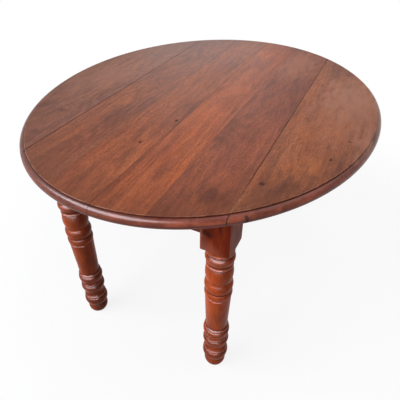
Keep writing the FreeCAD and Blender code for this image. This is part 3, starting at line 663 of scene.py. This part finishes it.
JOINT_EASING = 0.0009
GLUE_EASING = 0.0002
OPEN_GLUE_EASING = 0.0005
GLUE_LINES = [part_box(name)[1].x for name in CENTRE[:-1]]
EASINGS = dict(zip(GLUE_LINES, (GLUE_EASING, OPEN_GLUE_EASING, GLUE_EASING)))
ENDS = ("front", "middle", "back")
ROUND_MIDDLE = 0.0105
ROUND_BAND_WITHIN, ROUND_BAND_FULL = 0.008, 0.002
RIM_WITHIN = 0.16


def edge_zones():
    """Where the oval's moulding, its quirk, its worn arris, its rim, the paler band along its round and the
    bare underside lie.
    """
    group, given, gives = new_group(
        "oval edge", {"Place": "Vector"},
        {"Rim": "Float", "Arris": "Float", "Quirk": "Float", "Moulding": "Float", "Round": "Float",
         "Lower": "Float", "Underside": "Float"})
    x, y, z = put(group, "SeparateXYZ", (given["Place"],)).outputs
    across = reckon(group, "POWER", reckon(group, "DIVIDE", x, HALF_WIDTH - MOULDING_WIDTH), 2.0)
    along = reckon(group, "POWER", reckon(group, "DIVIDE", y, HALF_LENGTH - MOULDING_WIDTH), 2.0)
    share = reckon(group, "SQRT", reckon(group, "ADD", across, along))
    radius = reckon(group, "SQRT", reckon(group, "ADD", reckon(group, "POWER", x, 2.0),
                                          reckon(group, "POWER", y, 2.0)))
    beyond = reckon(group, "SUBTRACT", radius, reckon(group, "DIVIDE", radius, share))
    drop = reckon(group, "SUBTRACT", TOP, z)
    rubbed = mottle(group, given["Place"], (38.0, 38.0, 38.0))
    from_arris = reckon(group, "ABSOLUTE", reckon(group, "ADD", beyond, ARRIS / 2))
    line = fade(group, from_arris, 2.2 * ARRIS, 0.7 * ARRIS)
    near_top = fade(group, drop, 2 * ARRIS, ARRIS)
    group.links.new(reckon(group, "MULTIPLY", reckon(group, "MULTIPLY", line, near_top),
                           fade(group, rubbed, 0.38, 0.62)), gives["Arris"])
    in_quirk = fade(group, reckon(group, "ABSOLUTE", beyond), 3 * ARRIS, ARRIS)
    sunk = fade(group, drop, 1.5 * ARRIS, 3 * ARRIS)
    group.links.new(reckon(group, "MULTIPLY", in_quirk, sunk), gives["Quirk"])
    on_edge = fade(group, beyond, -ARRIS, ARRIS)
    group.links.new(on_edge, gives["Moulding"])
    from_middle = reckon(group, "ABSOLUTE", reckon(group, "SUBTRACT", drop, ROUND_MIDDLE))
    group.links.new(reckon(group, "MULTIPLY", on_edge, fade(group, from_middle, ROUND_BAND_WITHIN, ROUND_BAND_FULL)),
                    gives["Round"])
    group.links.new(fade(group, drop, NOSE_DROP, NOSE_DROP + UNDER_INSET), gives["Lower"])
    # The band round the rim where the top is coloured darker.
    rim_band = reckon(group, "MULTIPLY_ADD", reckon(group, "SUBTRACT", rubbed, 0.5), 0.05, beyond)
    group.links.new(fade(group, rim_band, -RIM_WITHIN, 0.0), gives["Rim"])
    thickness = TOP - UNDERSIDE
    group.links.new(fade(group, drop, thickness - ARRIS, thickness - ARRIS / 3), gives["Underside"])
    return group


EDGE = edge_zones()
KNOT = (0.016, 0.005, 0.004)
DARK = (0.062, 0.018, 0.012)
AMBER = (0.44, 0.135, 0.045)
PALE = (0.40, 0.19, 0.12)
LIGHTER_TONE = (0.345, 0.140, 0.085)
PLUM = (0.075, 0.014, 0.010)
PALER_PLUM = (0.160, 0.027, 0.017)
RUBBED_RED_AND_HIGHLIGHT = (0.52, 0.13, 0.068)
WARMER = (1.16, 1.02, 0.72, 1)
BOARD_PORES = (0.05, 0.014, 0.008)
RIM_DARKENING = (0.120, 0.034, 0.014)
QUIRK_DARKENING = (0.030, 0.008, 0.006)
BARE_ARRIS = (0.42, 0.19, 0.115)
GLUE_DIRT = (0.030, 0.009, 0.006)
JOINT_DIRT = (0.018, 0.006, 0.005)
BARE_PALE, BARE_DARK = (0.30, 0.185, 0.105), (0.15, 0.085, 0.045)
BOARD_PATTERNS = (("Figure", 0.93, 1.05), ("Flecks", 0.56, 1.44), ("Fibre", 0.68, 1.27))
DEEP_SHARES = (0.58, 0.54, 0.62)
LIGHT_SHARES = (1.32, 1.36, 1.30)
TOP_POLISH = 0.10
EDGE_POLISH = 0.2
PALER_EDGE_PLACE, PALER_EDGE_REACH = (0.33, -0.50, TOP), (0.38, 0.50, 1.0)
WORN_JOINT = (JOINT_X, -0.53, TOP)
WORN_REACH = (0.03, 0.14, 1.0)
BOARD_SMOOTHING = math.radians(20)


def board_finish(name, pith, ring_width, run, shade, marks, polish):
    """French-polished walnut. Marks are (colour, strength, x, y, reach across, reach along, fray)."""
    finish, tree, place, shader = new_finish(name)
    grain = use(tree, GRAIN, Place=place, Pith=pith, Ring_Width=ring_width, Run=run)
    spot = shift(tree, "ADD", place, pith)
    cloud = mottle(tree, spot, (9.0, 3.0, 9.0))
    blotch = mottle(tree, spot, (40.0, 11.0, 40.0), 5.0, 0.6)
    tone = reckon(tree, "MULTIPLY_ADD", cloud, 0.36, reckon(tree, "MULTIPLY", blotch, 0.28))
    tone = reckon(tree, "MULTIPLY_ADD", grain["Streaks"], 0.42, tone)
    tone = reckon(tree, "MULTIPLY_ADD", grain["Rings"], 0.05, tone)
    deep = [part * share for part, share in zip(shade, DEEP_SHARES)]
    light = [part * share for part, share in zip(shade, LIGHT_SHARES)]
    colour = tones(tree, tone, (0.40, deep), (0.56, shade), (0.72, light))
    warmth = fade(tree, mottle(tree, spot, (14.0, 5.0, 14.0), 4.0, 0.6), 0.44, 0.66)
    colour = tint(tree, reckon(tree, "MULTIPLY", warmth, 0.55), colour,
                  tint(tree, 1.0, colour, WARMER, "MULTIPLY"))
    for pattern, dim, bright in BOARD_PATTERNS:
        shine = tones(tree, grain[pattern], (0.25, [dim] * 3), (0.75, [bright] * 3))
        colour = tint(tree, 1.0, colour, shine, "MULTIPLY")
    colour = lay(tree, colour, BOARD_PORES, grain["Pores"], 0.45)
    edge = use(tree, EDGE, Place=place)
    patchy = fade(tree, mottle(tree, place, (22.0, 22.0, 70.0), 4.0, 0.6), 0.38, 0.62)
    # Darker round the rim of the top.
    colour = lay(tree, colour, RIM_DARKENING, edge["Rim"], 0.4)
    # The moulding is coloured paler towards the front right and darker plum elsewhere; the same patch lets
    # the paler red band show more there.
    paler_front_right = use(tree, PATCH, Place=place, Centre=PALER_EDGE_PLACE, Reach=PALER_EDGE_REACH, Fray=0.8)["Mask"]
    plum = tint(tree, paler_front_right, (*PLUM, 1), (*PALER_PLUM, 1))
    colour = tint(tree, reckon(tree, "MULTIPLY", edge["Moulding"], 0.82), colour, plum)
    # A paler red band along the middle of the round: partly rubbed polish, partly a painted highlight.
    rubbed = reckon(tree, "MULTIPLY", edge["Round"], reckon(tree, "MULTIPLY_ADD", patchy, 0.55, 0.25))
    rubbed = reckon(tree, "MULTIPLY", rubbed, reckon(tree, "MULTIPLY_ADD", paler_front_right, 0.7, 0.3))
    colour = lay(tree, colour, RUBBED_RED_AND_HIGHLIGHT, rubbed)
    # Darker in the quirk.
    colour = lay(tree, colour, QUIRK_DARKENING, edge["Quirk"], 0.5)
    colour = lay(tree, colour, BARE_ARRIS, edge["Arris"], 0.55)
    dull = 0.0
    for mark, strength, x, y, across, along, fray in marks:
        reach = (across, along, 1.0)
        mask = use(tree, PATCH, Place=place, Centre=(x, y, TOP), Reach=reach, Fray=fray)["Mask"]
        covered = reckon(tree, "MULTIPLY", mask, strength)
        colour = tint(tree, covered, colour, (*mark, 1))
        dull = reckon(tree, "MAXIMUM", dull, covered) if mark == KNOT else dull
    x = put(tree, "SeparateXYZ", (place,)).outputs[0]
    from_glue = reckon(tree, "ABSOLUTE", reckon(tree, "SUBTRACT", x, GLUE_LINES[1]))
    open_glue = fade(tree, from_glue, 4 * OPEN_GLUE_EASING, OPEN_GLUE_EASING)
    colour = lay(tree, colour, GLUE_DIRT, open_glue, 0.6)
    from_joint = reckon(tree, "ABSOLUTE", reckon(tree, "SUBTRACT", reckon(tree, "ABSOLUTE", x), JOINT_X))
    grime = fade(tree, from_joint, 1.9 * JOINT_EASING, 0.7 * JOINT_EASING)
    colour = lay(tree, colour, JOINT_DIRT, grime, 0.8)
    worn = use(tree, PATCH, Place=place, Centre=WORN_JOINT, Reach=WORN_REACH, Fray=1.4)["Mask"]
    worn = reckon(tree, "MULTIPLY", worn, reckon(tree, "SUBTRACT", 1.0, edge["Moulding"]))
    lip = reckon(tree, "MULTIPLY", fade(tree, from_joint, 2.0 * JOINT_EASING, JOINT_EASING), worn)
    colour = lay(tree, colour, PALE, lip, 0.75)
    bare = bare_wood(tree, grain, BARE_PALE, BARE_DARK)
    tree.links.new(tint(tree, edge["Underside"], colour, bare), shader.inputs["Base Color"])
    satin = reckon(tree, "MULTIPLY_ADD", cloud, 0.16, 0.34)
    satin = reckon(tree, "MULTIPLY_ADD", edge["Moulding"], -0.14, satin)
    satin = reckon(tree, "MULTIPLY_ADD", edge["Lower"], 0.3, satin)
    satin = reckon(tree, "MULTIPLY_ADD", dull, 0.4, satin)
    tree.links.new(reckon(tree, "MULTIPLY_ADD", edge["Underside"], 0.2, satin), shader.inputs["Roughness"])
    shader.inputs["Specular IOR Level"].default_value = polish
    rough_up(tree, shader, reckon(tree, "SUBTRACT", grain["Fibre"], grain["Pores"]), 0.06, 0.0008)
    return finish


def board_finishes(name, **wood):
    """One board's two finishes: satin on the flat, and a higher polish round the edge."""
    return (board_finish(f"{name}_flat", polish=TOP_POLISH, **wood),
            board_finish(f"{name}_edge", polish=EDGE_POLISH, **wood))


# Broad pale marks among these make some areas of the boards lighter.
BOARD_FINISHES = {
    "left_leaf": board_finishes(
        "left_leaf_walnut", pith=(0.40, 0.35, -0.62), ring_width=0.010, run=14.0,
        shade=(0.215, 0.080, 0.050), marks=[
            (DARK, 0.45, -0.446, -0.310, 0.030, 0.055, 2.2), (DARK, 0.5, -0.367, -0.312, 0.030, 0.022, 2.2),
            (DARK, 0.45, -0.337, -0.455, 0.025, 0.020, 2.2), (LIGHTER_TONE, 0.4, -0.42, -0.02, 0.15, 0.30, 1.8)]),
    "left_outer_board": board_finishes(
        "left_outer_walnut", pith=(0.26, 1.30, -0.58), ring_width=0.009, run=16.0,
        shade=(0.218, 0.068, 0.035), marks=[
            (AMBER, 0.5, -0.222, -0.165, 0.028, 0.045, 2.2),
            (DARK, 0.5, -0.215, -0.158, 0.004, 0.007, 1.0)]),
    "left_inner_board": board_finishes(
        "left_inner_walnut", pith=(0.05, 2.10, -0.66), ring_width=0.012, run=20.0,
        shade=(0.268, 0.074, 0.031), marks=[
            (KNOT, 0.95, -0.040, -0.374, 0.006, 0.010, 0.5), (DARK, 0.3, -0.045, -0.45, 0.026, 0.055, 2.6),
            (KNOT, 0.95, -0.011, -0.220, 0.008, 0.010, 0.7), (DARK, 0.45, -0.006, -0.13, 0.013, 0.11, 2.0)]),
    "right_inner_board": board_finishes(
        "right_inner_walnut", pith=(-0.08, 0.70, -0.64), ring_width=0.014, run=22.0,
        shade=(0.325, 0.085, 0.034), marks=[
            (DARK, 0.3, 0.085, -0.46, 0.018, 0.090, 2.6)]),
    "right_outer_board": board_finishes(
        "right_outer_walnut", pith=(-0.22, 3.30, -0.60), ring_width=0.010, run=14.0,
        shade=(0.238, 0.066, 0.034), marks=[
            (DARK, 0.4, 0.150, -0.22, 0.040, 0.14, 2.2), (DARK, 0.5, 0.225, -0.50, 0.055, 0.050, 2.8),
            (DARK, 0.4, 0.275, -0.38, 0.014, 0.16, 1.6), (LIGHTER_TONE, 0.5, 0.20, 0.42, 0.10, 0.26, 1.6)]),
    "right_leaf": board_finishes(
        "right_leaf_walnut", pith=(-0.40, 4.20, -0.70), ring_width=0.016, run=6.0,
        shade=(0.288, 0.091, 0.042), marks=[
            (KNOT, 0.8, 0.319, -0.412, 0.009, 0.010, 0.9), (KNOT, 0.75, 0.445, -0.237, 0.007, 0.010, 0.9),
            (KNOT, 0.75, 0.475, -0.122, 0.013, 0.006, 0.9), (DARK, 0.45, 0.47, -0.28, 0.018, 0.085, 2.4),
            (DARK, 0.45, 0.375, -0.40, 0.045, 0.090, 2.6), (AMBER, 0.5, 0.420, -0.285, 0.032, 0.055, 2.0),
            (PALE, 0.9, 0.2925, -0.491, 0.0045, 0.006, 1.0), (LIGHTER_TONE, 0.5, 0.46, 0.12, 0.18, 0.36, 1.6),
            (PALE, 0.3, 0.43, 0.20, 0.12, 0.22, 1.8), (PALE, 0.3, 0.505, -0.13, 0.04, 0.11, 2.0),
            (DARK, 0.3, 0.34, -0.46, 0.060, 0.10, 2.4), (KNOT, 0.9, *DENT_PLACE.xy, 0.008, 0.006, 0.7)]),
}

slab = oval_slab()
for name in (*CENTRE, *LEAVES):
    board = slab.copy()
    board.data = slab.data.copy()
    board.name = f"{name}_finished"
    bpy.context.scene.collection.objects.link(board)
    pick(board)
    low, high = (corner.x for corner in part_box(name))
    if low > -HALF_WIDTH + MOULDING_WIDTH:
        saw(board, low, True, EASINGS.get(low, JOINT_EASING))
    if high < HALF_WIDTH - MOULDING_WIDTH:
        saw(board, high, False, EASINGS.get(high, JOINT_EASING))
    side = name.split("_")[0]
    if name in LEAVES:
        hinge_seats(board, [f"{side}_{end}_hinge_leaf_flap" for end in ENDS])
    elif "outer" in name:
        hinge_seats(board, [f"{side}_{end}_hinge_fixed_flap" for end in ENDS])
    if name == "right_leaf":
        dent_edge(board)
    pick(board)
    bpy.ops.object.shade_smooth_by_angle(angle=BOARD_SMOOTHING)
    finish_piece(board, LEAVES.get(name, "frame"), name, "polished_top", *BOARD_FINISHES[name])
    for face in board.data.polygons:
        across = face.center.x / (HALF_WIDTH - MOULDING_WIDTH)
        along = face.center.y / (HALF_LENGTH - MOULDING_WIDTH)
        face.material_index = int(math.hypot(across, along) > 1)
bpy.data.objects.remove(slab)

# Hinges
# Back-flap hinges forged from iron, let in flush under the joints, with a pin through three knuckles.
# They are black with brown rust in the pits, and their countersunk screws are slotted and dull steel.
HINGES = tuple(f"{side}_{end}_hinge" for side in ("right", "left") for end in ENDS)
IRON, RUST = (0.075, 0.068, 0.064, 1), (0.115, 0.048, 0.024, 1)
STEEL_DARK, STEEL_BRIGHT = (0.16, 0.145, 0.13), (0.36, 0.34, 0.32)


def iron_finish():
    """Black iron, with rust that blooms in patches and takes the metal's shine."""
    finish, tree, place, shader = new_finish("rusted_iron")
    rust = mottle(tree, place, (160.0, 160.0, 160.0), 5.0, 0.65)
    pits = mottle(tree, place, (700.0, 700.0, 700.0), 2.0)
    bloom = fade(tree, rust, 0.48, 0.68)
    tree.links.new(tint(tree, bloom, IRON, RUST), shader.inputs["Base Color"])
    tree.links.new(reckon(tree, "MULTIPLY_ADD", bloom, -0.65, 0.9), shader.inputs["Metallic"])
    tree.links.new(reckon(tree, "MULTIPLY_ADD", bloom, 0.3, 0.45), shader.inputs["Roughness"])
    rough_up(tree, shader, reckon(tree, "ADD", pits, rust), 0.3, 0.0006)
    return finish


def steel_finish():
    """Steel rubbed brighter here and there."""
    finish, tree, place, shader = new_finish("dull_steel")
    wear = mottle(tree, place, (420.0, 420.0, 420.0), 3.0)
    colour = tones(tree, wear, (0.3, STEEL_DARK), (0.7, STEEL_BRIGHT))
    tree.links.new(colour, shader.inputs["Base Color"])
    tree.links.new(reckon(tree, "MULTIPLY_ADD", wear, 0.25, 0.3), shader.inputs["Roughness"])
    shader.inputs["Metallic"].default_value = 0.9
    rough_up(tree, shader, wear, 0.15, 0.0004)
    return finish


STEEL = steel_finish()
dress(iron_finish(), *(f"{hinge}_{flap}" for hinge in HINGES for flap in ("fixed_flap", "leaf_flap")))
dress(STEEL, *(f"{hinge}_pin" for hinge in HINGES))
SCREW_SPREAD = 0.012
SLOT_WIDTH = 0.0011
SLOT_DEPTH = 0.0009
SLOT_TURN = math.radians(37)


def slot_heads(node):
    """Copies a set of screws and saws a slot across each head, every one left at its own angle."""
    screws = bench_copy(node)
    sets = []
    for spot in [corner.co.copy() for corner in screws.data.vertices]:
        near = [found for found in sets if (found[0].xy - spot.xy).length < SCREW_SPREAD]
        if near:
            near[0].append(spot)
        else:
            sets.append([spot])
    saw_cuts = []
    for k, spots in enumerate(sets):
        axis = sum((spot.xy for spot in spots), Vector((0, 0))) / len(spots)
        bpy.ops.mesh.primitive_cube_add(size=1, location=(*axis, min(spot.z for spot in spots)),
                                        rotation=(0, 0, k * SLOT_TURN))
        cut = bpy.context.object
        cut.scale = (SCREW_SPREAD, SLOT_WIDTH, 2 * SLOT_DEPTH)
        saw_cuts.append(cut)
    for cut in saw_cuts:
        cut.select_set(True)
    bpy.ops.object.transform_apply(rotation=True, scale=True)
    bpy.ops.object.join()
    carve(screws, bpy.context.object)
    return screws


for side in ("right", "left"):
    for flap, body in (("fixed", "frame"), ("leaf", f"{side}_leaf_swing")):
        screw_set = f"{side}_{flap}_flap_screws"
        screws = slot_heads(screw_set)
        bpy.ops.object.shade_smooth_by_angle(angle=SMOOTH_WITHIN)
        finish_piece(screws, body, screw_set, "screw_steel", STEEL)

# Studio
# The table stands on pale paper that runs out to white. A large soft window at the front left lights
# it, with a weaker one behind and a lamp overhead. Two cards show in the polish alone.
FLOOR_REACH = 60
FLOOR_GREY = (0.6, 0.6, 0.6, 1)
WHITE = (1, 1, 1, 1)
SHADOW_WITHIN = 0.9
WHITE_FROM = 1.7
SHADOW_SHARE = 0.15
bpy.ops.mesh.primitive_plane_add(size=FLOOR_REACH, location=(0, 0, cad_low.z))
floor = bpy.context.object
floor.name = "floor"


def seen_white(tree):
    """1 where the camera looks, directly, in a reflection or through glass, and 0 for all other light."""
    path = tree.nodes.new("ShaderNodeLightPath").outputs
    return reckon(tree, "MAXIMUM", path["Is Camera Ray"],
                  reckon(tree, "MAXIMUM", path["Is Glossy Ray"], path["Is Transmission Ray"]))


def floor_finish():
    """Pale paper: it takes a soft shadow under the table and runs out to white further off."""
    finish = bpy.data.materials.new("pale_floor")
    finish.use_nodes = True
    tree = finish.node_tree
    tree.nodes.remove(tree.nodes["Principled BSDF"])
    plain = put(tree, "BsdfDiffuse", {"Color": FLOOR_GREY}).outputs[0]
    place = tree.nodes.new("ShaderNodeTexCoord").outputs["Object"]
    away = put(tree, "VectorMath", (place,), operation="LENGTH").outputs["Value"]
    near = fade(tree, away, WHITE_FROM, SHADOW_WITHIN)
    strength = reckon(tree, "MULTIPLY_ADD", near, -SHADOW_SHARE, 1.0)
    glow = put(tree, "Emission", {"Color": WHITE, "Strength": strength}).outputs[0]
    grey = put(tree, "CombineColor", [reckon(tree, "MULTIPLY", near, SHADOW_SHARE)] * 3).outputs[0]
    soft = put(tree, "BsdfDiffuse", {"Color": grey}).outputs[0]
    shown = put(tree, "AddShader", (glow, soft)).outputs[0]
    both = put(tree, "MixShader", (seen_white(tree), plain, shown)).outputs[0]
    clear = tree.nodes.new("ShaderNodeBsdfTransparent").outputs[0]
    below = tree.nodes.new("ShaderNodeNewGeometry").outputs["Backfacing"]
    tree.links.new(put(tree, "MixShader", (below, both, clear)).outputs[0],
                   tree.nodes["Material Output"].inputs["Surface"])
    return finish


floor.data.materials.append(floor_finish())

FILL_COLOUR, FILL_STRENGTH = (0.95, 0.97, 1.0, 1), 0.22
world = bpy.data.worlds.new("studio")
bpy.context.scene.world = world
world.use_nodes = True
sky = world.node_tree
for old in list(sky.nodes):
    sky.nodes.remove(old)
fill = put(sky, "Background", {"Color": FILL_COLOUR, "Strength": FILL_STRENGTH}).outputs[0]
white = put(sky, "Background", {"Color": WHITE, "Strength": 1.0}).outputs[0]
output = sky.nodes.new("ShaderNodeOutputWorld")
sky.links.new(put(sky, "MixShader", (seen_white(sky), fill, white)).outputs[0], output.inputs["Surface"])

AIM = Vector((0, 0, 0.6))
CARD_WHITE = (0.90, 0.92, 1.0)


def window(name, place, size, power, colour):
    """A soft light of that size that looks at the table."""
    bpy.ops.object.light_add(type="AREA", location=place)
    lamp = bpy.context.object
    lamp.name = name
    lamp.data.shape = "RECTANGLE"
    lamp.data.size, lamp.data.size_y = size
    lamp.data.energy = power
    lamp.data.color = colour
    lamp.rotation_euler = (AIM - Vector(place)).to_track_quat("-Z", "Y").to_euler()
    lamp.visible_camera = False
    return lamp


key = window("front_window", place=(-2.1, -2.4, 2.1), size=(3.4, 1.8), power=130, colour=(0.93, 0.96, 1.0))
key.visible_glossy = False
window("back_window", place=(-1.5, 3.2, 1.9), size=(1.8, 1.6), power=12, colour=(0.94, 0.97, 1.0))
window("overhead_lamp", place=(0.9, 0.6, 3.1), size=(2.4, 2.4), power=38, colour=(1.0, 0.98, 0.95))
high_card = window("high_card", place=(-1.2, -1.7, 3.1), size=(3.6, 1.7), power=500, colour=CARD_WHITE)
leg_card = window("leg_card", place=(0.1, -3.2, 1.9), size=(6.0, 3.2), power=4000, colour=CARD_WHITE)
for card in (high_card, leg_card):
    card.visible_diffuse = False
legs_only = bpy.data.collections.new("legs_only")
for node in LEGS:
    legs_only.objects.link(bpy.data.objects[f"{node}_finished"])
leg_card.light_linking.receiver_collection = legs_only

# Camera
# It stands where the photograph was taken from. Its place, its three angles and its focal length were
# fitted to the oval, the two joints and the feet of the legs.
CAMERA_PLACE = (0.48944, -1.10739, 1.26387)
LOOK_DOWN, TURN_LEFT, TILT = (math.radians(angle) for angle in (39.02, 25.38, 0.35))
FOCAL_PIXELS, IMAGE_PIXELS = 373.82, 400
bpy.ops.object.camera_add(location=CAMERA_PLACE)
camera = bpy.context.object
camera.rotation_euler = (Matrix.Rotation(TURN_LEFT, 3, "Z")
                         @ Matrix.Rotation(math.pi / 2 - LOOK_DOWN, 3, "X")
                         @ Matrix.Rotation(TILT, 3, "Z")).to_euler()
camera.data.lens = FOCAL_PIXELS / IMAGE_PIXELS * camera.data.sensor_width
bpy.context.scene.camera = camera
bpy.context.scene.view_settings.view_transform = "Standard"
